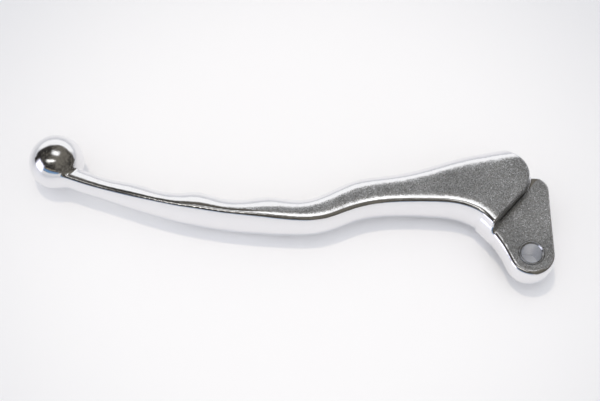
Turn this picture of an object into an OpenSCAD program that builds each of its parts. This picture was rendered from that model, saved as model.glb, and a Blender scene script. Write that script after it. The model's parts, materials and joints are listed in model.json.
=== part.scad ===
// Motorcycle clutch lever: one aluminium casting (ball end, finger blade,
// shoulder, pivot tongue) that swings on a thin steel pivot collar.
// Frame: Z is the pivot axis, origin at its middle; -X outboard to the ball,
// +Y forward to the finger side, -Y towards the handlebar.

/* [Reach] */
// Outboard distance from the pivot axis to the centre of the ball
ball_reach = 154; // [125:1:190]
// Forward distance from the pivot axis to the centre of the ball
ball_forward = 35; // [33:1:38]
// Diameter of the ball end
ball_d = 18; // [15:0.5:22]

/* [Blade] */
// Height of the finger blade at its tallest
blade_h = 15.6; // [13:0.2:19]
// Height of the shoulder block
shoulder_h = 15; // [12.5:0.5:18]
// Width of the finger blade, front to back, where it is narrowest
blade_w = 7; // [6:0.2:9]
// Roundness of the finger side, measured front to back
finger_round = 4.8; // [3.5:0.1:6]
// Roundness of the shoulder's forward side
shoulder_round = 6; // [4:0.1:8]

/* [Tongue] */
// Thickness of the pivot tongue
tongue_t = 9; // [7.5:0.1:11]
// Outer radius of the eye round the pivot
eye_r = 7.7; // [6.4:0.1:10]
// Corner radius at the forward end of the tongue
tongue_corner_r = 4.8; // [4:0.1:6]
// Forward distance from the pivot axis to the corner's centre
tongue_corner_y = 22.4; // [21:0.2:25]
// Angle of the step between shoulder and tongue, seen from above
step_angle = 48; // [44:1:54]
// Forward distance from the pivot axis to the step's line
step_y = 21.6; // [20.6:0.2:24]

/* [Pivot collar] */
// Inside diameter of the collar, for the pivot screw
screw_hole_d = 6.6; // [5.5:0.1:8]
// Wall thickness of the collar
collar_wall = 0.7; // [0.6:0.05:1]
// How far the collar stands out of the tongue on each side
collar_stand = 0.1; // [0.05:0.05:0.5]
// Radial running clearance between collar and eye
running_clearance = 0.03; // [0.02:0.01:0.08]
// Chamfer inside each end of the collar
collar_chamfer = 0.4; // [0.1:0.05:0.5]

/* [Cable end] */
// Diameter of the pocket for the cable's barrel nipple
nipple_d = 8.2; // [6.8:0.1:9.9]
// Metal left between the pocket and the tongue's inboard edge
nipple_wall = 1.6; // [1.2:0.1:2.4]
// Distance kept between the pocket and the step
nipple_step_gap = 0.4; // [0.2:0.1:1.5]
// Metal left above the pocket
nipple_roof = 2.2; // [1.5:0.1:3]
// Width of the slot that the cable's wire passes through
wire_slot_w = 2.6; // [2:0.1:3.2]

/* [Hidden] */
$fn = 96;

// The collar and the eye take their radii from the screw's hole outwards.
collar_r_in = screw_hole_d / 2;
collar_r_out = collar_r_in + collar_wall;
eye_bore_r = collar_r_out + running_clearance;
collar_len = tongue_t + 2 * collar_stand;

// The nipple's pocket sits as far forward as the step lets it.
nipple_x = eye_r - nipple_wall - nipple_d / 2;
nipple_y = step_y + (nipple_x * sin(step_angle) - nipple_d / 2 - nipple_step_gap) / cos(step_angle);

// The blade proper starts at this station; inboard of it the shoulder keeps
// its distance from the pivot whatever the reach.
shoulder_x = -20;
ball_x = -ball_reach;
base_reach = 154;
base_forward = 35;
base_blade_h = 15.6;
base_blade_w = 7;
base_shoulder_h = 15;
reach_scale = (ball_reach + shoulder_x) / (base_reach + shoulder_x);

// Stations from the ball to the shoulder's inboard end:
// outboard place, rear face, front face, height.
stations = [
    [-154, 27.6, 35.0,  9.0],
    [-144, 23.9, 31.0,  9.0],
    [-136, 21.2, 28.0,  9.8],
    [-128, 18.4, 26.2, 11.6],
    [-120, 15.9, 23.4, 13.4],
    [-112, 13.7, 22.2, 14.8],
    [-107, 12.7, 22.5, 15.3],
    [ -98, 11.1, 19.9, 15.6],
    [ -89, 10.1, 19.8, 15.4],
    [ -83,  9.6, 20.6, 14.8],
    [ -76,  9.3, 19.8, 13.6],
    [ -70,  9.4, 20.2, 13.0],
    [ -63, 10.9, 23.3, 12.6],
    [ -56, 13.8, 26.8, 12.2],
    [ -48, 15.7, 28.4, 12.3],
    [ -40, 16.1, 29.6, 12.8],
    [ -30, 15.8, 32.3, 13.6],
    [ -20, 13.9, 35.4, 14.4],
    [ -13,  9.6, 36.9, 15.0],
    [  -6,  7.0, 38.2, 15.0],
    [   3,  7.0, 39.6, 15.0]
];

// Shares of a station that follow the blade's own sizes, from 0 at the
// shoulder to 1 in the fingers.
function blade_share(x) = min(1, max(0, (shoulder_x - x) / 40));
function place(x) = x > shoulder_x ? x : shoulder_x + (x - shoulder_x) * reach_scale;
function forward(x) = (ball_forward - base_forward) * blade_share(x)
    * (x - shoulder_x) / (-base_reach - shoulder_x);
function height_scale(x) = blade_h / base_blade_h * blade_share(x)
    + shoulder_h / base_shoulder_h * (1 - blade_share(x));
function sized(s) = [
    place(s[0]),
    s[1] + forward(s[0]),
    s[2] + forward(s[0]) + (blade_w - base_blade_w) * blade_share(s[0]),
    s[3] * height_scale(s[0])
];
rows = [for (s = stations) sized(s)];

// Smooth curve through the stations: each one's slope is that of the line
// between its neighbours.
function slope(i, k) = i == 0 || i == len(rows) - 1 ? end_slope(i, k)
    : (rows[i + 1][k] - rows[i - 1][k]) / (rows[i + 1][0] - rows[i - 1][0]);
function end_slope(i, k) = let (a = min(i, len(rows) - 2))
    (rows[a + 1][k] - rows[a][k]) / (rows[a + 1][0] - rows[a][0]);
function hermite(i, k, x) =
    let (w = rows[i + 1][0] - rows[i][0], t = (x - rows[i][0]) / w)
    (1 + 2 * t) * pow(1 - t, 2) * rows[i][k] + t * pow(1 - t, 2) * w * slope(i, k)
    + t * t * (3 - 2 * t) * rows[i + 1][k] + t * t * (t - 1) * w * slope(i + 1, k);

// Rings along the blade, a few between each pair of stations.
RINGS_PER_STATION = 3;
REAR_POINTS = 6;
FRONT_POINTS = 10;
rings = [
    for (i = [0 : len(rows) - 2], j = [0 : RINGS_PER_STATION - 1])
        let (x = rows[i][0] + (rows[i + 1][0] - rows[i][0]) * j / RINGS_PER_STATION)
        [x, hermite(i, 1, x), hermite(i, 2, x), hermite(i, 3, x)],
    rows[len(rows) - 1]
];

// The rear face is a shallow barrel, its radius this many half heights.
REAR_BARREL = 1.9;
LEAST_FLAT = 0.4;
function rear_bulge(h, z) = REAR_BARREL * h - sqrt(pow(REAR_BARREL * h, 2) - z * z);
function ring_points(r) =
    let (h = r[3] / 2, room = r[2] - r[1] - rear_bulge(h, h) - LEAST_FLAT)
    let (share = blade_share(r[0]))
    let (round_w = min(room, share * finger_round + (1 - share) * shoulder_round)) [
        for (i = [0 : REAR_POINTS - 1])
            let (z = h * (2 * i / (REAR_POINTS - 1) - 1))
            [r[0], r[1] + rear_bulge(h, z), z],
        for (i = [0 : FRONT_POINTS - 1])
            let (a = 90 - 180 * i / (FRONT_POINTS - 1))
            [r[0], r[2] - round_w + round_w * cos(a), h * sin(a)]
    ];

module blade_loft() {
    n = REAR_POINTS + FRONT_POINTS;
    last = len(rings) - 1;
    points = [for (r = rings) each ring_points(r)];
    sides = [
        for (i = [0 : last - 1], j = [0 : n - 1])
            let (a = i * n + j, b = i * n + (j + 1) % n)
            each [[a, b, b + n], [a, b + n, a + n]]
    ];
    outboard_cap = [[for (j = [n - 1 : -1 : 0]) j]];
    inboard_cap = [[for (j = [0 : n - 1]) last * n + j]];
    polyhedron(points = points, faces = concat(sides, outboard_cap, inboard_cap));
}

// Plan shape of the shoulder's inboard end, with all that lies outboard of
// it: a round end that runs off at 45 degrees to the forward side.
END_R = 9.2;
end_centre = [-7.6, 26.9];
module end_form() {
    span = ball_reach + ball_d;
    tangent = end_centre + END_R * [cos(45), sin(45)];
    translate(end_centre) circle(r = END_R);
    polygon([
        [end_centre[0] + END_R, -END_R],
        [end_centre[0] + END_R, end_centre[1]],
        end_centre,
        tangent,
        tangent + [-span, span],
        [-span, -END_R]
    ]);
}

// Everything on the tongue's side of the step, above or below the tongue.
CUT = 60;
module step_cut(side) {
    translate([0, step_y, side * (tongue_t + CUT) / 2])
        rotate(step_angle)
            translate([0, -CUT / 2, 0])
                cube([2 * CUT, CUT, CUT], center = true);
}

module shoulder_and_blade() {
    difference() {
        intersection() {
            blade_loft();
            translate([0, 0, -shoulder_h]) linear_extrude(2 * shoulder_h) end_form();
        }
        step_cut(1);
        step_cut(-1);
    }
}

// Plan shape of the tongue: the eye, the forward corner, and the web that
// runs back under the shoulder.
ROOT_REAR = [-12, 10];
ROOT_FRONT = [-12, 30];
module tongue_plan() {
    corner_x = eye_r - tongue_corner_r;
    rear_angle = atan2(ROOT_REAR[1], ROOT_REAR[0]) + acos(eye_r / norm(ROOT_REAR));
    circle(r = eye_r);
    translate([corner_x, tongue_corner_y]) circle(r = tongue_corner_r);
    polygon([
        [eye_r * cos(rear_angle), eye_r * sin(rear_angle)],
        [0, 0],
        [eye_r, 0],
        [eye_r, tongue_corner_y],
        [corner_x, tongue_corner_y + tongue_corner_r],
        ROOT_FRONT,
        ROOT_REAR
    ]);
}

module nipple_pocket() {
    depth = tongue_t - nipple_roof;
    translate([nipple_x, nipple_y, -CUT - tongue_t / 2])
        cylinder(d = nipple_d, h = CUT + depth);
    translate([nipple_x, nipple_y - wire_slot_w / 2, -CUT - tongue_t / 2])
        cube([CUT, wire_slot_w, CUT + depth]);
}

module lever_casting() {
    color("silver") difference() {
        union() {
            translate([ball_x, ball_forward, 0]) sphere(d = ball_d);
            shoulder_and_blade();
            translate([0, 0, -tongue_t / 2]) linear_extrude(tongue_t) tongue_plan();
        }
        cylinder(r = eye_bore_r, h = 2 * tongue_t, center = true);
        nipple_pocket();
    }
}

module pivot_collar() {
    mouth_r = collar_r_in + collar_chamfer;
    color("dimgray") difference() {
        cylinder(r = collar_r_out, h = collar_len, center = true);
        cylinder(r = collar_r_in, h = 2 * collar_len, center = true);
        for (side = [-1, 1])
            translate([0, 0, side * (collar_len - collar_chamfer) / 2])
                cylinder(
                    r1 = side > 0 ? collar_r_in : mouth_r,
                    r2 = side > 0 ? mouth_r : collar_r_in,
                    h = collar_chamfer, center = true
                );
    }
}

lever_casting();
pivot_collar();
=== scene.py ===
"""A motorcycle clutch lever: polished and satin cast aluminium on a thin steel pivot collar."""

import json
import math

import bpy
import numpy as np
from bpy.props import FloatProperty, FloatVectorProperty, PointerProperty
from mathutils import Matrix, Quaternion, Vector


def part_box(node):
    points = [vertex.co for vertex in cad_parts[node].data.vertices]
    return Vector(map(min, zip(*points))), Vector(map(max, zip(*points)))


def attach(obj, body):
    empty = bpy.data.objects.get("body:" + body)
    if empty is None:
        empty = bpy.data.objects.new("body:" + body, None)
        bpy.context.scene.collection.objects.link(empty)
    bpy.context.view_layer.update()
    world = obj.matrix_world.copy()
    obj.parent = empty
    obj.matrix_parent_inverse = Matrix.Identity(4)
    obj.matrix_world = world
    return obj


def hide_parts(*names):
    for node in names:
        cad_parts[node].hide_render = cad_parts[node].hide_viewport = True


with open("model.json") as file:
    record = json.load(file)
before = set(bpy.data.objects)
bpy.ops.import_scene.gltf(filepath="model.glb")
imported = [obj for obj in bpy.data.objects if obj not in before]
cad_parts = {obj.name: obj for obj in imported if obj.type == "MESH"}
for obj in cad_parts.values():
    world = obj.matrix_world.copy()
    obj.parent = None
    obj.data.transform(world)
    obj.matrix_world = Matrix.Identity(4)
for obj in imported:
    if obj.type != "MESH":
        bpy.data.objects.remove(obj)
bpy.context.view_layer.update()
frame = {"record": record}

bl_info = {
    "name": "Clutch Lever",
    "version": (1, 0, 0),
    "blender": (4, 5, 0),
    "location": "3D View > Sidebar > Clutch Lever",
    "description": "Builds a cast clutch lever with its pivot collar, and a stage to show it on",
    "category": "Object",
}

MM = 0.001
CASTING_LOW, CASTING_HIGH = (Vector(corner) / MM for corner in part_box("lever_casting"))
COLLAR_LOW, COLLAR_HIGH = (Vector(corner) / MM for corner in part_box("pivot_collar"))
MOUNTS = {mount["name"]: mount for mount in frame["record"]["mounts"]}

# Everything below is in millimetres, in the frame's own axes. The collar stands out of each face
# of the tongue and has a running gap round it.
COLLAR_STAND = 0.1
RUNNING_GAP = 0.03
BALL_R = CASTING_HIGH.z
BALL_CENTRE = (CASTING_LOW.x + BALL_R, CASTING_HIGH.y - BALL_R)
EYE_R = -CASTING_LOW.y
TONGUE_HALF = COLLAR_HIGH.z - COLLAR_STAND
COLLAR_R = COLLAR_HIGH.x
COLLAR_BORE_R = MOUNTS["pivot_bore"]["dims"]["r_mm"]
COLLAR_CHAMFER = COLLAR_HIGH.z - MOUNTS["pivot_bore"]["dims"]["length_mm"] / 2
EYE_BORE_R = COLLAR_R + RUNNING_GAP
POCKET = [c / MM for c in MOUNTS["cable_nipple_pocket"]["pos_m"]]
POCKET_R = MOUNTS["cable_nipple_pocket"]["dims"]["r_mm"]
POCKET_TOP = MOUNTS["cable_nipple_pocket"]["dims"]["length_mm"] - TONGUE_HALF
WIRE_SLOT = 2.6

# Stations from the ball to the shoulder: outboard place, rear face, front face, height,
# and how far the roundness of the front face reaches back.
STATIONS = (
    (-154, 27.6, 35.1, 9.0, 6.4),
    (-144, 23.9, 31.1, 9.0, 6.4),
    (-136, 21.2, 28.1, 9.8, 6.4),
    (-128, 18.4, 26.4, 11.6, 7.2),
    (-120, 15.9, 23.8, 13.4, 7.2),
    (-112, 13.7, 22.7, 14.8, 8.0),
    (-107, 12.7, 23.0, 15.3, 9.0),
    (-98, 11.1, 20.5, 15.6, 8.0),
    (-89, 10.1, 20.5, 15.4, 8.4),
    (-83, 9.6, 21.2, 14.8, 8.6),
    (-76, 9.3, 20.2, 13.6, 7.0),
    (-70, 9.4, 20.6, 13.0, 6.6),
    (-63, 10.9, 23.7, 12.6, 7.4),
    (-56, 13.8, 27.1, 12.2, 7.4),
    (-48, 15.7, 28.6, 12.3, 6.6),
    (-40, 16.1, 29.8, 12.8, 6.8),
    (-30, 15.8, 32.5, 13.6, 7.2),
    (-20, 13.9, 35.6, 14.4, 7.6),
    (-13, 9.6, 37.1, 15.0, 7.8),
    (-6, 4.2, 38.4, 15.0, 7.8),
    (3, -2.8, 39.8, 15.0, 7.8),
)

# The middle of the lever on the stage, in metres.
STAGE_CENTRE = Vector((-0.075, 0.02, 0))


# ---------------------------------------------------------------- sizes and finishes


def linear(hex_code):
    """An sRGB hex code such as 'C8CACC' as linear red, green and blue."""
    parts = [int(hex_code[i : i + 2], 16) / 255 for i in (0, 2, 4)]
    return [c / 12.92 if c <= 0.04045 else ((c + 0.055) / 1.055) ** 2.4 for c in parts]


def length(name, description, default_mm):
    """A length property whose default is given in millimetres."""
    return FloatProperty(
        name=name, description=description, default=default_mm * MM, min=0, unit="LENGTH", precision=5
    )


def tone(name, description, hex_code):
    """A colour property whose default is given as an sRGB hex code."""
    return FloatVectorProperty(
        name=name, description=description, default=linear(hex_code), subtype="COLOR", min=0, max=1
    )


class LeverSizes(bpy.types.PropertyGroup):
    """Sizes that shape the lever beyond what the frame fixes"""

    cell: length("Mesh cell", "Edge length of the casting's mesh", 0.32)
    edge_r: length("Rear edge radius", "Radius left where the belt-ground rear face meets the top", 0.7)
    step_edge_r: length("Step edge radius", "Radius of the shoulder's edge above the tongue", 0.6)
    tongue_edge_r: length("Tongue edge radius", "Radius where buffing met the tongue's faces", 1.1)
    step_fillet: length("Step fillet", "Reach of the cast fillet at the foot of the step", 1.6)
    ball_fillet: length("Ball fillet", "Reach of the fillet where the blade joins the ball", 0.9)
    mouth_r: length("Mouth radius", "Radius at the mouths of the eye and the nipple pocket", 0.25)
    collar_lip_r: length("Collar lip radius", "Radius of the collar's outer edge", 0.12)


class LeverFinish(bpy.types.PropertyGroup):
    """Colours and grain of the lever's metals"""

    polished: tone("Polished aluminium", "Colour of the buffed sides and ball", "EEEEF0")
    satin: tone("Cast aluminium", "Colour of the shot-blasted casting skin", "C5C6C9")
    steel: tone("Plated steel", "Colour of the zinc-plated collar", "D6D8DC")
    grain: length("Casting grain", "Size of one pit of the casting skin", 0.3)
    polish_roughness: FloatProperty(
        name="Polish roughness", description="Blur of the polished sides", default=0.13, min=0, max=1
    )
    satin_roughness: FloatProperty(
        name="Satin roughness", description="Blur of the casting skin", default=0.36, min=0, max=1
    )


class StageLook(bpy.types.PropertyGroup):
    """The floor, the light and the camera"""

    paper: tone("Paper", "Colour of the floor", "F6F6F6")
    room: tone("Room", "Colour of the dark room that the metal mirrors", "2C2A29")
    world_strength: FloatProperty(
        name="Fill light", description="Strength of the even light", default=0.985
    )
    lens: FloatProperty(
        name="Lens", description="Focal length of the camera", default=75.6, min=1, unit="CAMERA"
    )
    elevation: FloatProperty(
        name="Camera elevation",
        description="Height of the view above the horizon",
        default=math.radians(63.4),
        subtype="ANGLE",
    )


# ---------------------------------------------------------------- form of the casting


def smooth_curve(places, values):
    """A natural cubic spline through the stations, as a function that gives value and slope."""
    count = len(places)
    steps = np.diff(places)
    rises = np.diff(values) / steps
    matrix = np.eye(count)
    right = np.zeros(count)
    for i in range(1, count - 1):
        matrix[i, i - 1 : i + 2] = steps[i - 1], 2 * (steps[i - 1] + steps[i]), steps[i]
        right[i] = 6 * (rises[i] - rises[i - 1])
    bend = np.linalg.solve(matrix, right)

    def curve(x):
        i = np.clip(np.searchsorted(places, x) - 1, 0, count - 2)
        w = steps[i]
        b = (x - places[i]) / w
        a = 1 - b
        value = a * values[i] + b * values[i + 1]
        value = value + ((a**3 - a) * bend[i] + (b**3 - b) * bend[i + 1]) * w * w / 6
        slope = rises[i] + ((1 - 3 * a * a) * bend[i] + (3 * b * b - 1) * bend[i + 1]) * w / 6
        return value, slope

    return curve


def round_max(a, b, r):
    """Where both fields are inside, with the edge between them rounded to radius r."""
    return np.minimum(np.maximum(a, b), -r) + np.hypot(np.maximum(a + r, 0), np.maximum(b + r, 0))


def soft_min(a, b, reach):
    """Where either field is inside, with a fillet of that reach between them."""
    near = np.maximum(reach - np.abs(a - b), 0) / reach
    return np.minimum(a, b) - near * near * reach / 4


def taper(x, y, start, start_r, end, end_r):
    """Plan distance to the shape that two circles and their common tangents enclose."""
    span = math.dist(start, end)
    ux, uy = (end[0] - start[0]) / span, (end[1] - start[1]) / span
    along = (x - start[0]) * ux + (y - start[1]) * uy
    across = np.abs((x - start[0]) * uy - (y - start[1]) * ux)
    sine = (start_r - end_r) / span
    cosine = math.sqrt(1 - sine * sine)
    reach = along * cosine - across * sine
    side = across * cosine + along * sine - start_r
    at_start = np.hypot(along, across) - start_r
    at_end = np.hypot(along - span, across) - end_r
    return np.where(reach < 0, at_start, np.where(reach > cosine * span, at_end, side))


def barrel(z, r):
    """How far a barrel-shaped side of radius r has drawn in at height z."""
    return r - np.sqrt(np.maximum(r * r - z * z, 0.01))


def rise(value, start, end):
    """A smooth step, from 0 where the value is start to 1 where it is end."""
    t = np.clip((value - start) / (end - start), 0, 1)
    return t * t * (3 - 2 * t)


def blend(pair, share):
    """Between a pair of values: the first at share 0, the second at share 1."""
    return pair[0] + (pair[1] - pair[0]) * share


class CastingForm:
    """The casting as one field in millimetres: negative inside the metal, zero on its skin."""

    # Sides bulge like barrels: the rear one to a radius of so many half heights, the others in mm.
    REAR_BARREL = 1.9
    END_BARREL_R = 55.0
    TONGUE_BARREL_R = 24.0

    # The buffed edge of the rear side, as pairs: along the outer fingers, and along the rest.
    CROWN_W = (1.1, 2.2)
    CROWN_R = (3.6, 9.5)
    BUFFED_RIM = (0.3, 1.2)
    BROADENING = (-122, -106)

    # The front side is polished over this share of its roundness, with a softer edge on the shoulder.
    BUFFED_ROUND = 0.66
    SOFT_EDGE = 0.5
    SOFTENING = (-90, -60)

    # The casting skin starts here on the blade, and clear of the ball.
    SKIN_START = -97.0
    SKIN_START_W = 4.0
    BALL_CLEARANCE = 0.8

    # The shoulder's inboard end and the step down to the tongue.
    END_CENTRE = (-7.6, 26.9)
    END_R = 9.2
    INBOARD_CORNER_R = 3.0
    STEP_ANGLE = math.radians(48)
    STEP_Y = 21.6
    STEP_DRAFT = 0.27
    STEP_MID = 6.0

    # The tongue: the round of its web, its forward corner, and how far it runs in under the shoulder.
    WEB = (-4.95, 13.1)
    REAR_BLEND = 6.0
    CORNER_R = 4.8
    CORNER_Y = 22.4
    ROOT_X = (-16, -1)
    ROOT_Y = 20

    # The tongue's rim was buffed behind a slanting line below the eye; the rest kept a keen edge.
    BUFFED_FROM = (3, -2)
    BUFFED_TOWARDS = (-0.8, -0.6)
    BUFFED_RISE = 2.4
    KEEN_EDGE_R = 0.35
    KEEN_RIM = 0.3
    KEEN_SIDE_X = (3, 5)
    FORWARD_SIDE_Y = (17, 21)

    # Depths that stand for skin and for polish wherever there is no edge near by.
    SKIN, POLISH = 2.0, -1.0

    def __init__(self, sizes):
        table = np.array(STATIONS, float)
        places = table[:, 0]
        self.rear, self.front, self.height, self.round = (
            smooth_curve(places, table[:, k]) for k in range(1, 5)
        )
        self.sizes = sizes
        self.corner = (EYE_R - self.CORNER_R, self.CORNER_Y)

    def blade_gap(self, x, y):
        """Plan distance behind the blade's rear face."""
        rear, slope = self.rear(x)
        return (rear - y) / np.sqrt(1 + slope * slope)

    def rear_gap(self, x, y):
        """Plan distance behind the rear face, which sweeps from the blade into the tongue."""
        web = taper(x, y, (0, 0), EYE_R, self.WEB, EYE_R)
        return soft_min(self.blade_gap(x, y), web, self.REAR_BLEND)

    def end_gap(self, x, y):
        """Plan distance past the shoulder's inboard end: a round end that runs off at 45 degrees."""
        cx, cy = self.END_CENTRE
        along = np.hypot(x - cx, y - cy) - self.END_R
        straight = x - cx - self.END_R
        slanted = ((x - cx) + (y - cy)) / math.sqrt(2) - self.END_R
        angle = np.arctan2(y - cy, x - cx)
        in_arc = (angle > 0) & (angle < math.pi / 4)
        return np.where(in_arc, along, np.where(y - cy < x - cx, straight, slanted))

    def step_gap(self, x, y):
        """Plan distance past the step, on the tongue's side."""
        return x * math.sin(self.STEP_ANGLE) - (y - self.STEP_Y) * math.cos(self.STEP_ANGLE)

    def tongue_gap(self, x, y):
        """Plan distance outside the tongue: eye, forward corner and the web under the shoulder."""
        eye_to_corner = taper(x, y, (0, 0), EYE_R, self.corner, self.CORNER_R)
        web_to_corner = taper(x, y, self.WEB, EYE_R, self.corner, self.CORNER_R)
        root = np.maximum(np.maximum(self.ROOT_X[0] - x, x - self.ROOT_X[1]), y - self.ROOT_Y)
        swept = np.maximum(self.rear_gap(x, y), root)
        return np.minimum(np.minimum(eye_to_corner, web_to_corner), swept)

    def inboard(self, x):
        """0 along the outer fingers, rising to 1 where the blade broadens."""
        return rise(x, *self.BROADENING)

    def crown(self, x, depth):
        """How far buffing has drawn a face down near the edge, so deep inside the rear side."""
        width = blend(self.CROWN_W, self.inboard(x))
        near = np.clip(width - depth, 0, width)
        return near * near / (2 * blend(self.CROWN_R, self.inboard(x)))

    def buffed(self, x, y):
        """1 where the tongue's rim was buffed, behind and below the eye, and 0 round the rest of it."""
        along = (x - self.BUFFED_FROM[0]) * self.BUFFED_TOWARDS[0]
        along = along + (y - self.BUFFED_FROM[1]) * self.BUFFED_TOWARDS[1]
        return rise(along, 0, self.BUFFED_RISE)

    def thick(self, x, y, z):
        """The blade and the shoulder, without the ball and the tongue."""
        half = self.height(x)[0] / 2
        reach = self.round(x)[0]
        past = np.maximum((y - self.front(x)[0] + reach) / reach, 0)
        faces = (np.sqrt(past * past + (z / half) ** 2) - 1) * half
        rear = self.rear_gap(x, y)
        to_edge = -rear - barrel(half, self.REAR_BARREL * half)
        faces = np.maximum(faces, np.abs(z) - half) + self.crown(x, to_edge)
        rear = rear + barrel(z, self.REAR_BARREL * half)
        body = round_max(faces, rear, self.sizes.edge_r / MM)
        end = self.end_gap(x, y) + barrel(z, self.END_BARREL_R)
        step = self.step_gap(x, y) + (np.abs(z) - self.STEP_MID) * self.STEP_DRAFT
        inboard = round_max(end, step, self.INBOARD_CORNER_R)
        body = round_max(body, inboard, self.sizes.step_edge_r / MM)
        return np.maximum(body, BALL_CENTRE[0] - x)

    def tongue(self, x, y, z):
        """The pivot tongue, with the web that runs in under the shoulder."""
        gap = self.tongue_gap(x, y)
        buffed = self.buffed(x, y)
        face = np.abs(z) - TONGUE_HALF + self.crown(x, -gap) * buffed
        edge_r = blend((self.KEEN_EDGE_R, self.sizes.tongue_edge_r / MM), buffed)
        return round_max(gap + barrel(z, self.TONGUE_BARREL_R), face, edge_r)

    def ball(self, x, y, z):
        """The ball at the lever's outboard end."""
        bx, by = BALL_CENTRE
        return np.sqrt((x - bx) ** 2 + (y - by) ** 2 + z * z) - BALL_R

    def bores(self, x, y, z):
        """The eye's bore, the nipple pocket and the wire's slot, as one tool: negative inside it."""
        eye = np.hypot(x, y) - EYE_BORE_R
        pocket = np.maximum(np.hypot(x - POCKET[0], y - POCKET[1]) - POCKET_R, z - POCKET_TOP)
        slot = np.maximum(np.abs(y - POCKET[1]) - WIRE_SLOT / 2, POCKET[0] - x)
        slot = np.maximum(slot, z - POCKET_TOP)
        return np.minimum(eye, np.minimum(pocket, slot))

    def painted_step_shade(self, x, y, z):
        """1 on the step's wall, where painted shade darkens the metal, standing in for the shade of its
        corner.
        """
        above_tongue = rise(np.abs(z) - TONGUE_HALF, 0.5, 1.0)
        below_edge = rise(self.height(x)[0] / 2 - np.abs(z), 0.35, 0.75)
        beside = rise(self.step_gap(x, y), -0.9, -0.6)
        return above_tongue * below_edge * beside

    def __call__(self, x, y, z):
        """The whole casting, with its fillets and its bores."""
        body = soft_min(self.thick(x, y, z), self.tongue(x, y, z), self.sizes.step_fillet / MM)
        body = soft_min(body, self.ball(x, y, z), self.sizes.ball_fillet / MM)
        return round_max(body, -self.bores(x, y, z), self.sizes.mouth_r / MM)

    def blade_depth(self, x, y, half):
        """Millimetres inward from the polish, over the faces of the blade and the shoulder."""
        rim = barrel(half, self.REAR_BARREL * half) + blend(self.BUFFED_RIM, self.inboard(x))
        rear = -self.rear_gap(x, y) - rim
        front = self.front(x)[0] - self.round(x)[0] * self.BUFFED_ROUND - y
        softness = blend((1, self.SOFT_EDGE), rise(x, *self.SOFTENING))
        depth = np.minimum(np.minimum(rear, front) * softness, -self.end_gap(x, y))
        return np.minimum(depth, (x - self.SKIN_START) / self.SKIN_START_W)

    def tongue_depth(self, x, y, z):
        """Millimetres inward from the polish, over the tongue's faces and sides."""
        buffed = self.buffed(x, y)
        keen = blend((self.SKIN, -self.KEEN_RIM), rise(x, *self.KEEN_SIDE_X))
        face = -self.tongue_gap(x, y) - self.BUFFED_RIM[1] * buffed + keen * (1 - buffed)
        side = blend((self.POLISH, self.SKIN), rise(y, *self.FORWARD_SIDE_Y))
        return np.where(np.abs(z) < TONGUE_HALF - 0.3, side, face)

    def skin_depth(self, x, y, z):
        """Millimetres inward from where the polishing belt stopped: positive on the casting skin."""
        half = self.height(x)[0] / 2
        past_step = self.step_gap(x, y) > 0
        on_tongue = past_step & (np.abs(z) < TONGUE_HALF + 0.6)
        on_side = ~past_step & (np.abs(z) < half - 0.6)
        depth = np.where(on_tongue, self.tongue_depth(x, y, z), self.blade_depth(x, y, half))
        depth = np.where(on_side, np.minimum(depth, self.POLISH), depth)
        depth = np.minimum(depth, self.ball(x, y, z) - self.BALL_CLEARANCE)
        return np.where(self.bores(x, y, z) < 0.3, self.SKIN, depth)


def slope_of(form, points):
    """The field's gradient at each point."""
    tiny = 0.002
    slope = np.empty_like(points)
    for k in range(3):
        ahead, behind = points.copy(), points.copy()
        ahead[:, k] += tiny
        behind[:, k] -= tiny
        slope[:, k] = (form(*ahead.T) - form(*behind.T)) / (2 * tiny)
    return slope


def onto_skin(form, points, cell, passes):
    """Moves points along the gradient until they lie on the field's zero surface."""
    flattest = 0.05
    for _ in range(passes):
        slope = slope_of(form, points)
        steepness = np.maximum((slope * slope).sum(1), flattest)
        shift = (form(*points.T) / steepness)[:, None] * slope
        reach = np.linalg.norm(shift, axis=1, keepdims=True)
        points = points - shift * np.minimum(1, cell / np.maximum(reach, 1e-9))
    return points


def evened(points, quads):
    """Each point drawn half way to the middle of its neighbours."""
    ring = quads[:, [1, 2, 3, 0]]
    total = np.zeros_like(points)
    for k in range(3):
        total[:, k] = np.bincount(quads.ravel(), points[ring.ravel(), k], len(points))
        total[:, k] += np.bincount(ring.ravel(), points[quads.ravel(), k], len(points))
    used = np.bincount(quads.ravel(), minlength=len(points)) * 2
    return (points + total / used[:, None]) / 2


def surface_net(form, low, high, cell):
    """Points and quads of the field's zero surface: one point in each grid cell that it crosses."""
    # The grid starts an odd fraction of a cell outside the box, so no flat face lies in its planes.
    margin = 1.37
    axes = [np.arange(a - cell * margin, b + cell * 2, cell) for a, b in zip(low, high)]
    grid = np.ix_(*axes)
    slices = np.array_split(grid[0], 12)
    inside = np.concatenate([form(part, grid[1], grid[2]) < 0 for part in slices])
    corners = inside.astype(np.int8)
    for k in range(3):
        rows = np.moveaxis(corners, k, 0)
        corners = np.moveaxis(rows[:-1] + rows[1:], 0, k)
    crossed = (corners > 0) & (corners < 8)
    number = np.full(crossed.shape, -1, np.int64)
    number[crossed] = np.arange(crossed.sum())
    middles = np.argwhere(crossed) * cell + [axis[0] + cell / 2 for axis in axes]
    quads = []
    for k in range(3):
        before = np.moveaxis(inside, k, 0)
        cells = np.moveaxis(number, k, 0)
        change = before[:-1, 1:-1, 1:-1] != before[1:, 1:-1, 1:-1]
        n, a, b = np.nonzero(change)
        around = ((0, 0), (1, 0), (1, 1), (0, 1))
        ring = np.stack([cells[n, a + i, b + j] for i, j in around], 1)
        leaving = before[:-1, 1:-1, 1:-1][change]
        swap = leaving if k == 1 else ~leaving
        ring[swap] = ring[swap][:, ::-1]
        quads.append(ring)
    return middles, np.concatenate(quads)


# ---------------------------------------------------------------- meshes and materials


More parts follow.
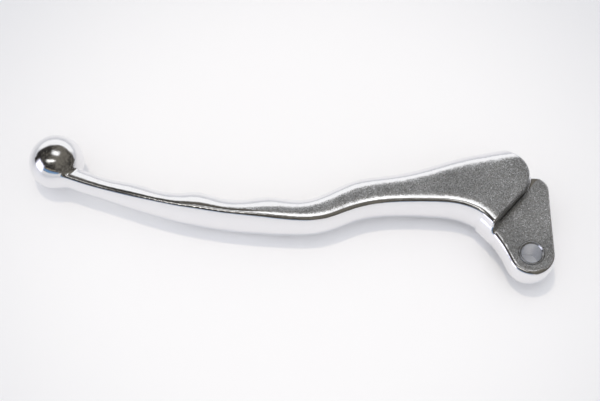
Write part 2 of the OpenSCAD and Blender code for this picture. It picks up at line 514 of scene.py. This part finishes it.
def mesh_object(name, points, faces, normals=None):
    """A smooth-shaded mesh object from points in millimetres and faces of one corner count."""
    mesh = bpy.data.meshes.new(name)
    mesh.from_pydata((np.asarray(points) * MM).tolist(), [], np.asarray(faces).tolist())
    mesh.shade_smooth()
    if normals is not None:
        mesh.normals_split_custom_set_from_vertices(normals.tolist())
    piece = bpy.data.objects.new(name, mesh)
    bpy.context.collection.objects.link(piece)
    return piece


def add_node(tree, kind, links=None, **settings):
    """A node of that kind with its settings, and its inputs set to values or linked to sockets."""
    node = tree.nodes.new(kind)
    for name, value in settings.items():
        setattr(node, name, value)
    for name, value in (links or {}).items():
        if isinstance(value, bpy.types.NodeSocket):
            tree.links.new(value, node.inputs[name])
        else:
            node.inputs[name].default_value = value
    return node


def new_material(name):
    """An empty node material, with its tree and its output node."""
    material = bpy.data.materials.new(name)
    material.use_nodes = True
    tree = material.node_tree
    tree.nodes.clear()
    return material, tree, add_node(tree, "ShaderNodeOutputMaterial")


def cast_and_polished_aluminium(look):
    """Gravity-cast aluminium, shot-blasted and then belt-ground and buffed at the sides.

    It gives a mirror with a soft blur and faint lengthwise grinding on the sides and the ball,
    and a grey sparkling grain where the casting skin is left, with a bright rubbed line between.
    """
    material, tree, output = new_material("cast_and_polished_aluminium")
    place = add_node(tree, "ShaderNodeTexCoord").outputs["Object"]
    depth = add_node(tree, "ShaderNodeAttribute", attribute_name="skin_depth").outputs["Fac"]

    # The belt leaves a slightly ragged edge, a few tenths of a millimetre deep.
    ragged = add_node(
        tree, "ShaderNodeTexNoise", {"Vector": place, "Scale": 1 / (1.6 * MM), "Detail": 3.0}
    ).outputs["Fac"]
    edge = add_node(tree, "ShaderNodeMath", {0: ragged, 1: 0.9, 2: depth}, operation="MULTIPLY_ADD")
    skin = add_node(
        tree,
        "ShaderNodeMapRange",
        {"Value": edge.outputs[0], "From Min": 0.35, "From Max": 1.35},
        interpolation_type="SMOOTHSTEP",
    ).outputs["Result"]

    # Pits of the casting skin, one grain across, with broader patches of heavier blasting. Real
    # pits are about a tenth of a millimetre; they are drawn three times as coarse, so they show.
    grain = add_node(
        tree,
        "ShaderNodeTexNoise",
        {"Vector": place, "Scale": 1 / look.grain, "Detail": 3.0, "Roughness": 0.65},
    ).outputs["Fac"]
    patches = add_node(
        tree, "ShaderNodeTexNoise", {"Vector": place, "Scale": 1 / (13 * MM), "Detail": 2.0}
    ).outputs["Fac"]
    crystals = add_node(
        tree, "ShaderNodeTexVoronoi", {"Vector": place, "Scale": 1 / look.grain}
    ).outputs["Color"]
    sparkle = add_node(tree, "ShaderNodeSeparateColor", {"Color": crystals}).outputs["Red"]

    # Grinding lines run along the lever: long in X and a quarter of a millimetre apart, several
    # times as coarse as real ones, so they show. Buffing also leaves waves a few millimetres long.
    stretched = add_node(
        tree, "ShaderNodeMapping", {"Vector": place, "Scale": (0.04, 1.0, 1.0)}
    ).outputs["Vector"]
    lines = add_node(
        tree, "ShaderNodeTexNoise", {"Vector": stretched, "Scale": 1 / (0.25 * MM), "Detail": 2.0}
    ).outputs["Fac"]
    waves = add_node(
        tree, "ShaderNodeTexNoise", {"Vector": place, "Scale": 1 / (2.5 * MM), "Detail": 2.0}
    ).outputs["Fac"]

    polished_relief = add_node(
        tree, "ShaderNodeBump", {"Height": lines, "Strength": 0.05, "Distance": 0.004 * MM}
    ).outputs["Normal"]
    polished_relief = add_node(
        tree,
        "ShaderNodeBump",
        {"Height": waves, "Strength": 0.6, "Distance": 0.1 * MM, "Normal": polished_relief},
    ).outputs["Normal"]
    # Each blasted pit leans its own way, by about a dozen degrees at most, and some flash in the light.
    lean = add_node(
        tree, "ShaderNodeVectorMath", {0: crystals, 1: (0.5, 0.5, 0.5)}, operation="SUBTRACT"
    ).outputs[0]
    lean = add_node(tree, "ShaderNodeVectorMath", {0: lean, "Scale": 0.42}, operation="SCALE").outputs[0]
    facing = add_node(tree, "ShaderNodeNewGeometry").outputs["Normal"]
    leaning = add_node(tree, "ShaderNodeVectorMath", {0: facing, 1: lean}, operation="ADD").outputs[0]
    leaning = add_node(tree, "ShaderNodeVectorMath", {0: leaning}, operation="NORMALIZE").outputs[0]
    satin_relief = add_node(
        tree,
        "ShaderNodeBump",
        {"Height": grain, "Strength": 1.0, "Distance": 0.12 * MM, "Normal": leaning},
    ).outputs["Normal"]
    # A mix node is set by the place of its sockets: 4 and 5 mix vectors, 6 and 7 colours.
    relief = add_node(
        tree, "ShaderNodeMix", {0: skin, 4: polished_relief, 5: satin_relief}, data_type="VECTOR"
    ).outputs[1]

    satin_tone = add_node(
        tree,
        "ShaderNodeMapRange",
        {"Value": sparkle, "From Min": 0.0, "From Max": 1.0, "To Min": 0.72, "To Max": 1.12},
    ).outputs["Result"]
    patch_tone = add_node(
        tree,
        "ShaderNodeMapRange",
        {"Value": patches, "From Min": 0.3, "From Max": 0.7, "To Min": 0.8, "To Max": 1.14},
    ).outputs["Result"]
    shade = add_node(
        tree, "ShaderNodeMath", {0: satin_tone, 1: patch_tone}, operation="MULTIPLY"
    ).outputs[0]
    # Painted shade: the step's wall is darkened, standing in for the shade in its corner under the
    # shoulder.
    wall = add_node(tree, "ShaderNodeAttribute", attribute_name="painted_step_shade").outputs["Fac"]
    painted_shade_tone = add_node(
        tree, "ShaderNodeMapRange", {"Value": wall, "To Min": 1.0, "To Max": 0.22}
    ).outputs["Result"]
    shade = add_node(tree, "ShaderNodeMath", {0: shade, 1: painted_shade_tone}, operation="MULTIPLY").outputs[0]
    satin_colour = add_node(
        tree, "ShaderNodeVectorMath", {0: tuple(look.satin), "Scale": shade}, operation="SCALE"
    ).outputs[0]
    colour = add_node(
        tree, "ShaderNodeMix", {0: skin, 6: (*look.polished, 1), 7: satin_colour}, data_type="RGBA"
    ).outputs[2]

    dull, glossy = look.satin_roughness + 0.08, look.satin_roughness - 0.12
    satin_blur = add_node(
        tree, "ShaderNodeMapRange", {"Value": sparkle, "To Min": dull, "To Max": glossy}
    ).outputs["Result"]
    blur = add_node(
        tree, "ShaderNodeMix", {"Factor": skin, "A": look.polish_roughness, "B": satin_blur}
    ).outputs["Result"]
    shader = add_node(
        tree,
        "ShaderNodeBsdfPrincipled",
        {"Base Color": colour, "Metallic": 1.0, "Roughness": blur, "Normal": relief},
    )
    tree.links.new(shader.outputs[0], output.inputs["Surface"])
    return material


def plated_steel(look):
    """Drawn steel tube, turned at its ends and zinc plated.

    It gives a bright grey metal with fine turning rings, and highlights that break up a little.
    """
    material, tree, output = new_material("zinc_plated_steel")
    place = add_node(tree, "ShaderNodeTexCoord").outputs["Object"]
    parts = add_node(tree, "ShaderNodeSeparateXYZ", {"Vector": place})
    flat = add_node(
        tree, "ShaderNodeCombineXYZ", {"X": parts.outputs["X"], "Y": parts.outputs["Y"]}
    ).outputs[0]
    radius = add_node(tree, "ShaderNodeVectorMath", {0: flat}, operation="LENGTH").outputs["Value"]
    rings = add_node(
        tree, "ShaderNodeCombineXYZ", {"X": radius, "Y": parts.outputs["Z"]}
    ).outputs[0]
    # Turning marks a tenth of a millimetre apart, and the plating's uneven gloss and grain.
    marks = add_node(
        tree, "ShaderNodeTexNoise", {"Vector": rings, "Scale": 1 / (0.1 * MM), "Detail": 1.0}
    ).outputs["Fac"]
    mottle = add_node(
        tree, "ShaderNodeTexNoise", {"Vector": place, "Scale": 1 / (0.8 * MM), "Detail": 3.0}
    ).outputs["Fac"]
    relief = add_node(
        tree, "ShaderNodeBump", {"Height": marks, "Strength": 0.3, "Distance": 0.02 * MM}
    ).outputs["Normal"]
    grain = add_node(
        tree, "ShaderNodeTexNoise", {"Vector": place, "Scale": 1 / (0.3 * MM), "Detail": 2.0}
    ).outputs["Fac"]
    relief = add_node(
        tree, "ShaderNodeBump", {"Height": grain, "Strength": 0.5, "Distance": 0.05 * MM, "Normal": relief}
    ).outputs["Normal"]
    blur = add_node(
        tree, "ShaderNodeMapRange", {"Value": mottle, "To Min": 0.1, "To Max": 0.3}
    ).outputs["Result"]
    brightness = add_node(
        tree, "ShaderNodeMapRange", {"Value": mottle, "To Min": 0.8, "To Max": 1.1}
    ).outputs["Result"]
    colour = add_node(
        tree, "ShaderNodeVectorMath", {0: tuple(look.steel), "Scale": brightness}, operation="SCALE"
    ).outputs[0]
    shader = add_node(
        tree,
        "ShaderNodeBsdfPrincipled",
        {"Base Color": colour, "Metallic": 1.0, "Roughness": blur, "Normal": relief},
    )
    tree.links.new(shader.outputs[0], output.inputs["Surface"])
    return material


def coated_paper(look):
    """Coated and smoothed paper: white with the faintest sheen under the lever, and painted shade away
    from it.
    """
    material, tree, output = new_material("coated_paper")
    place = add_node(tree, "ShaderNodeTexCoord").outputs["Object"]
    # The sheet is very slightly uneven, from one couple of millimetres to the next.
    unevenness = add_node(
        tree, "ShaderNodeTexNoise", {"Vector": place, "Scale": 1 / (2 * MM), "Detail": 4.0}
    ).outputs["Fac"]
    relief = add_node(
        tree, "ShaderNodeBump", {"Height": unevenness, "Strength": 0.1, "Distance": 0.02 * MM}
    ).outputs["Normal"]
    # Painted shade: away from the lever, over a hand's breadth, the paper's colour turns a little greyer,
    # standing in for the falloff of the pool of light.
    away = add_node(
        tree, "ShaderNodeVectorMath", {0: place, 1: STAGE_CENTRE}, operation="DISTANCE"
    ).outputs["Value"]
    tone = add_node(
        tree,
        "ShaderNodeMapRange",
        {"Value": away, "From Min": 0.06, "From Max": 0.18, "To Min": 1.0, "To Max": 0.88},
        interpolation_type="SMOOTHSTEP",
    ).outputs["Result"]
    colour = add_node(
        tree, "ShaderNodeVectorMath", {0: tuple(look.paper), "Scale": tone}, operation="SCALE"
    ).outputs[0]
    shader = add_node(
        tree,
        "ShaderNodeBsdfPrincipled",
        {"Base Color": colour, "Roughness": 0.5, "Normal": relief},
    )
    tree.links.new(shader.outputs[0], output.inputs["Surface"])
    return material


def dim_room(look):
    """Painted walls and clutter round the stage: dim and brownish, with patches a metre across.

    It gives the metal something dark to mirror, lighter high up and towards the lever's inboard end.
    """
    material, tree, output = new_material("dim_room")
    place = add_node(tree, "ShaderNodeTexCoord").outputs["Object"]
    clutter = add_node(
        tree, "ShaderNodeTexNoise", {"Vector": place, "Scale": 1.0, "Detail": 5.0, "Roughness": 0.75}
    ).outputs["Fac"]
    parts = add_node(tree, "ShaderNodeSeparateXYZ", {"Vector": place}).outputs
    upward = add_node(
        tree,
        "ShaderNodeMapRange",
        {"Value": parts["Z"], "From Min": 2.5, "From Max": 5.5, "To Min": -0.6, "To Max": -0.3},
    ).outputs["Result"]
    inboard = add_node(
        tree,
        "ShaderNodeMapRange",
        {"Value": parts["X"], "From Min": -1.1, "From Max": 1.3, "To Min": -0.12, "To Max": 0.24},
    ).outputs["Result"]
    level = add_node(
        tree, "ShaderNodeMath", {0: clutter, 1: 2.2, 2: upward}, operation="MULTIPLY_ADD"
    ).outputs[0]
    level = add_node(tree, "ShaderNodeMath", {0: level, 1: inboard}, operation="ADD").outputs[0]
    ramp = add_node(tree, "ShaderNodeValToRGB", {"Fac": level})
    dark, light = ramp.color_ramp.elements
    dark.position, light.position = 0.52, 0.92
    dark.color = (*look.room, 1)
    light.color = (*linear("726E66"), 1)
    # Light that reaches the paper by way of the metal is as bright as the rest of the studio's.
    studio = (1.5, 1.5, 1.6, 1)
    bounces = add_node(tree, "ShaderNodeLightPath").outputs["Diffuse Depth"]
    lit = add_node(tree, "ShaderNodeMath", {0: bounces, 1: 0.5}, operation="GREATER_THAN").outputs[0]
    glow = add_node(
        tree, "ShaderNodeMix", {0: lit, 6: ramp.outputs["Color"], 7: studio}, data_type="RGBA"
    ).outputs[2]
    shader = add_node(tree, "ShaderNodeEmission", {"Color": glow, "Strength": 1.0})
    tree.links.new(shader.outputs[0], output.inputs["Surface"])
    return material


def glowing(name, colour, strength, fade):
    """Light that fades out towards the rim of a card, for the cards that the metal mirrors."""
    material, tree, output = new_material(name)
    place = add_node(tree, "ShaderNodeTexCoord").outputs["Object"]
    parts = add_node(tree, "ShaderNodeSeparateXYZ", {"Vector": place})
    # In a card's own coordinates its rim is half a unit from its middle.
    rim = 0.5
    shares = []
    for axis in ("X", "Y"):
        across = add_node(
            tree, "ShaderNodeMath", {0: parts.outputs[axis]}, operation="ABSOLUTE"
        ).outputs[0]
        share = add_node(
            tree,
            "ShaderNodeMapRange",
            {"Value": across, "From Min": rim, "From Max": rim - rim * fade},
            interpolation_type="SMOOTHSTEP",
        )
        shares.append(share.outputs["Result"])
    share = add_node(
        tree, "ShaderNodeMath", {0: shares[0], 1: shares[1]}, operation="MULTIPLY"
    ).outputs[0]
    light = add_node(tree, "ShaderNodeEmission", {"Color": (*colour, 1), "Strength": strength})
    clear = add_node(tree, "ShaderNodeBsdfTransparent")
    mixed = add_node(tree, "ShaderNodeMixShader", {0: share, 1: clear.outputs[0], 2: light.outputs[0]})
    tree.links.new(mixed.outputs[0], output.inputs["Surface"])
    return material


# ---------------------------------------------------------------- operators


def direction(azimuth, elevation):
    """The unit vector at so many degrees from +X, and so many above the horizon."""
    a, e = math.radians(azimuth), math.radians(elevation)
    return Vector((math.cos(a) * math.cos(e), math.sin(a) * math.cos(e), math.sin(e)))


class LEVER_OT_casting(bpy.types.Operator):
    """Build the lever casting: ball end, finger blade, shoulder and pivot tongue"""

    bl_idname = "lever.casting"
    bl_label = "Lever Casting"

    SMOOTHING_ROUNDS = 4

    def execute(self, context):
        sizes = context.scene.lever_sizes
        form = CastingForm(sizes)
        cell = sizes.cell / MM * 1
        points, quads = surface_net(form, CASTING_LOW, CASTING_HIGH, cell)
        points = onto_skin(form, points, cell, 3)
        for _ in range(self.SMOOTHING_ROUNDS):
            points = onto_skin(form, evened(points, quads), cell, 2)
        points = onto_skin(form, points, cell, 2)
        normals = slope_of(form, points)
        normals /= np.linalg.norm(normals, axis=1, keepdims=True)
        casting = mesh_object("lever_body", points, quads, normals)
        # Besides the skin's depth, each point carries the painted shade of the step's wall.
        for name, values in (("skin_depth", form.skin_depth), ("painted_step_shade", form.painted_step_shade)):
            layer = casting.data.attributes.new(name, "FLOAT", "POINT")
            layer.data.foreach_set("value", values(*points.T).astype(np.float32))
        casting.data.materials.append(cast_and_polished_aluminium(context.scene.lever_finish))
        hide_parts("lever_casting")
        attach(casting, "lever")
        return {"FINISHED"}


class LEVER_OT_collar(bpy.types.Operator):
    """Build the pivot collar: a thin steel sleeve with turned ends"""

    bl_idname = "lever.collar"
    bl_label = "Pivot Collar"

    SIDES = 128
    LIP_POINTS = 5

    # Extra rings lie this close to the edges of the bore and of the lip, to keep their shading crisp.
    BELOW_CHAMFER = 1.3
    BESIDE_CHAMFER = 0.06
    BESIDE_LIP = 0.04

    def profile(self, lip):
        """Half of the sleeve's section as radius and height, from the bore's middle to the outside."""
        top = COLLAR_HIGH.z
        mouth_r = COLLAR_BORE_R + COLLAR_CHAMFER
        points = [(COLLAR_BORE_R, 0), (COLLAR_BORE_R, top / 2)]
        points += [(COLLAR_BORE_R, top - COLLAR_CHAMFER * self.BELOW_CHAMFER)]
        points += [(COLLAR_BORE_R, top - COLLAR_CHAMFER), (mouth_r, top)]
        points += [(mouth_r + self.BESIDE_CHAMFER, top), (COLLAR_R - lip - self.BESIDE_LIP, top)]
        for i in range(self.LIP_POINTS):
            a = math.pi / 2 * (1 - i / (self.LIP_POINTS - 1))
            points.append((COLLAR_R - lip + lip * math.cos(a), top - lip + lip * math.sin(a)))
        points += [(COLLAR_R, top - 2 * lip), (COLLAR_R, top / 2), (COLLAR_R, 0)]
        return points

    def execute(self, context):
        upper = self.profile(context.scene.lever_sizes.collar_lip_r / MM)
        lower = [(r, -z) for r, z in upper[-2:0:-1]]
        section = upper + lower
        rows = len(section)
        points = []
        for i in range(self.SIDES):
            turn = 2 * math.pi * i / self.SIDES
            points += [(r * math.cos(turn), r * math.sin(turn), z) for r, z in section]
        quads = []
        for i in range(self.SIDES):
            here, there = i * rows, (i + 1) % self.SIDES * rows
            for j in range(rows):
                k = (j + 1) % rows
                quads.append((here + j, here + k, there + k, there + j))
        collar = mesh_object("pivot_sleeve", points, quads)
        collar.data.set_sharp_from_angle(angle=math.radians(40))
        collar.data.materials.append(plated_steel(context.scene.lever_finish))
        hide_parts("pivot_collar")
        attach(collar, "pivot")
        return {"FINISHED"}


class LEVER_OT_stage(bpy.types.Operator):
    """Build the stage: a white sweep, the room and cards that the metal mirrors, lamp and camera"""

    bl_idname = "lever.stage"
    bl_label = "Stage"

    # The sweep in millimetres: flat from the first of these places to the third, then a bend of
    # this radius up to a wall.
    FLOOR_Z = -BALL_R
    FLOOR_Y = (-4000.0, -600.0, 600.0)
    BEND_R = 300.0
    BEND_STEPS = 12
    WALL_Y = 1300.0
    WALL_TOP = 750.0
    HALF_WIDTH = 5800.0

    # The camera stands here, in metres; the pool of light is this wide, in degrees.
    VIEW_FROM = (-0.0733, -0.1636, 0.3681)
    POOL_ANGLE = 13

    def sweep(self, look):
        """White paper that lies flat and turns up behind the lever."""
        profile = [(y, self.FLOOR_Z) for y in self.FLOOR_Y]
        for i in range(self.BEND_STEPS + 1):
            a = math.pi / 2 * i / self.BEND_STEPS
            y = self.WALL_Y - self.BEND_R + self.BEND_R * math.sin(a)
            profile.append((y, self.FLOOR_Z + self.BEND_R - self.BEND_R * math.cos(a)))
        profile.append((self.WALL_Y, self.WALL_TOP))
        points = [(x, y, z) for x in (-self.HALF_WIDTH, self.HALF_WIDTH) for y, z in profile]
        rows = len(profile)
        quads = [(j, rows + j, rows + j + 1, j + 1) for j in range(rows - 1)]
        floor = mesh_object("paper_sweep", points, quads)
        floor.data.materials.append(coated_paper(look))

    def only_mirrored(self, card):
        """Lets nothing but reflections see a card."""
        card.visible_camera = False
        card.visible_diffuse = False
        card.visible_shadow = False
        card.visible_transmission = False

    def room(self, look):
        """A dim dome of six metres' radius that only reflections see."""
        bpy.ops.mesh.primitive_uv_sphere_add(segments=32, ring_count=16, radius=6)
        dome = bpy.context.object
        dome.name = "dim_room"
        dome.data.materials.append(dim_room(look))
        self.only_mirrored(dome)

    def card(self, name, place, size, strength, hex_code, fade=0.1, turn=0):
        """A glowing card that only reflections see.

        Its place is an azimuth and an elevation in degrees and a distance in metres, its size a
        width and a height in metres; fade is the share of it that dims towards the rim.
        """
        azimuth, elevation, distance = place
        towards = direction(azimuth, elevation)
        bpy.ops.mesh.primitive_plane_add(size=1, location=STAGE_CENTRE + towards * distance)
        card = bpy.context.object
        card.name = name
        card.scale = (*size, 1)
        card.rotation_mode = "QUATERNION"
        turned = Quaternion((0, 0, 1), math.radians(turn))
        card.rotation_quaternion = towards.to_track_quat("Z", "Y") @ turned
        card.data.materials.append(glowing(name, linear(hex_code), strength, fade))
        self.only_mirrored(card)

    def key(self, name, place, radius, power, hex_code):
        """A pool of light, brightest at the middle of the lever, that the metal doesn't mirror."""
        azimuth, elevation, distance = place
        towards = direction(azimuth, elevation)
        data = bpy.data.lights.new(name, "SPOT")
        data.shadow_soft_size = radius
        data.spot_size, data.spot_blend = math.radians(self.POOL_ANGLE), 1.0
        data.energy = power
        data.color = linear(hex_code)
        lamp = bpy.data.objects.new(name, data)
        lamp.location = STAGE_CENTRE + towards * distance
        lamp.visible_glossy = False
        lamp.rotation_mode = "QUATERNION"
        lamp.rotation_quaternion = towards.to_track_quat("Z", "Y")
        bpy.context.collection.objects.link(lamp)

    def camera(self, look):
        """The view from above the lever's rear side, looking forward and down."""
        data = bpy.data.cameras.new("camera")
        data.lens = look.lens
        data.sensor_width = 36
        data.clip_start, data.clip_end = 0.01, 50
        view = bpy.data.objects.new("camera", data)
        view.location = self.VIEW_FROM
        view.rotation_euler = (math.pi / 2 - look.elevation, 0, 0)
        bpy.context.collection.objects.link(view)
        bpy.context.scene.camera = view

    def execute(self, context):
        look = context.scene.stage_look
        self.sweep(look)
        self.room(look)
        self.key("key", (125, 79, 1.5), 0.03, 17, "FFF1DA")
        self.card("window_card", (200, 14, 1.5), (1.15, 1.0), 2.0, "F0F0FF", 0.5)
        self.card("ceiling_card_far", (79, 79, 1.5), (1.2, 0.8), 1.5, "FFFFFF", 0.9)
        self.card("ceiling_card_near", (233, 62, 1.5), (1.3, 0.34), 1.7, "FFFDF8", 0.7, 33)
        self.card("blue_card", (247, 17, 1.5), (2.2, 0.28), 0.66, "86B4E4", 0.3, -4)
        self.card("beige_card", (250, 27, 1.6), (1.6, 0.14), 0.5, "EBDCC0", 0.5, -4)
        self.card("table_card", (245, 5, 1.5), (3.2, 0.36), 0.85, "F4F4F6")
        self.card("wall_card", (90, 20, 1.25), (4.5, 1.12), 1.05, "FFFFFF", 0.4)
        self.camera(look)
        world = bpy.data.worlds.new("studio")
        world.use_nodes = True
        back = world.node_tree.nodes["Background"]
        back.inputs["Color"].default_value = (*linear("F5F6FB"), 1)
        back.inputs["Strength"].default_value = look.world_strength
        context.scene.world = world
        context.scene.view_settings.view_transform = "Standard"
        return {"FINISHED"}


class LEVER_PT_panel(bpy.types.Panel):
    """Sidebar panel of the clutch lever's builders"""

    bl_idname = "LEVER_PT_panel"
    bl_label = "Clutch Lever"
    bl_space_type = "VIEW_3D"
    bl_region_type = "UI"
    bl_category = "Clutch Lever"

    def draw(self, context):
        for group in (context.scene.lever_sizes, context.scene.lever_finish, context.scene.stage_look):
            box = self.layout.box()
            for name in group.__annotations__:
                box.prop(group, name)
        for operator in OPERATORS:
            self.layout.operator(operator.bl_idname)


OPERATORS = (LEVER_OT_casting, LEVER_OT_collar, LEVER_OT_stage)
CLASSES = (LeverSizes, LeverFinish, StageLook, *OPERATORS, LEVER_PT_panel)


def register():
    """Adds the builders, their panel and their properties to Blender."""
    for cls in CLASSES:
        bpy.utils.register_class(cls)
    bpy.types.Scene.lever_sizes = PointerProperty(type=LeverSizes)
    bpy.types.Scene.lever_finish = PointerProperty(type=LeverFinish)
    bpy.types.Scene.stage_look = PointerProperty(type=StageLook)


def unregister():
    """Takes them away again."""
    del bpy.types.Scene.lever_sizes
    del bpy.types.Scene.lever_finish
    del bpy.types.Scene.stage_look
    for cls in reversed(CLASSES):
        bpy.utils.unregister_class(cls)


def main():
    """Builds the lever on its stage."""
    register()
    bpy.ops.lever.casting()
    bpy.ops.lever.collar()
    bpy.ops.lever.stage()


if __name__ == "__main__":
    main()
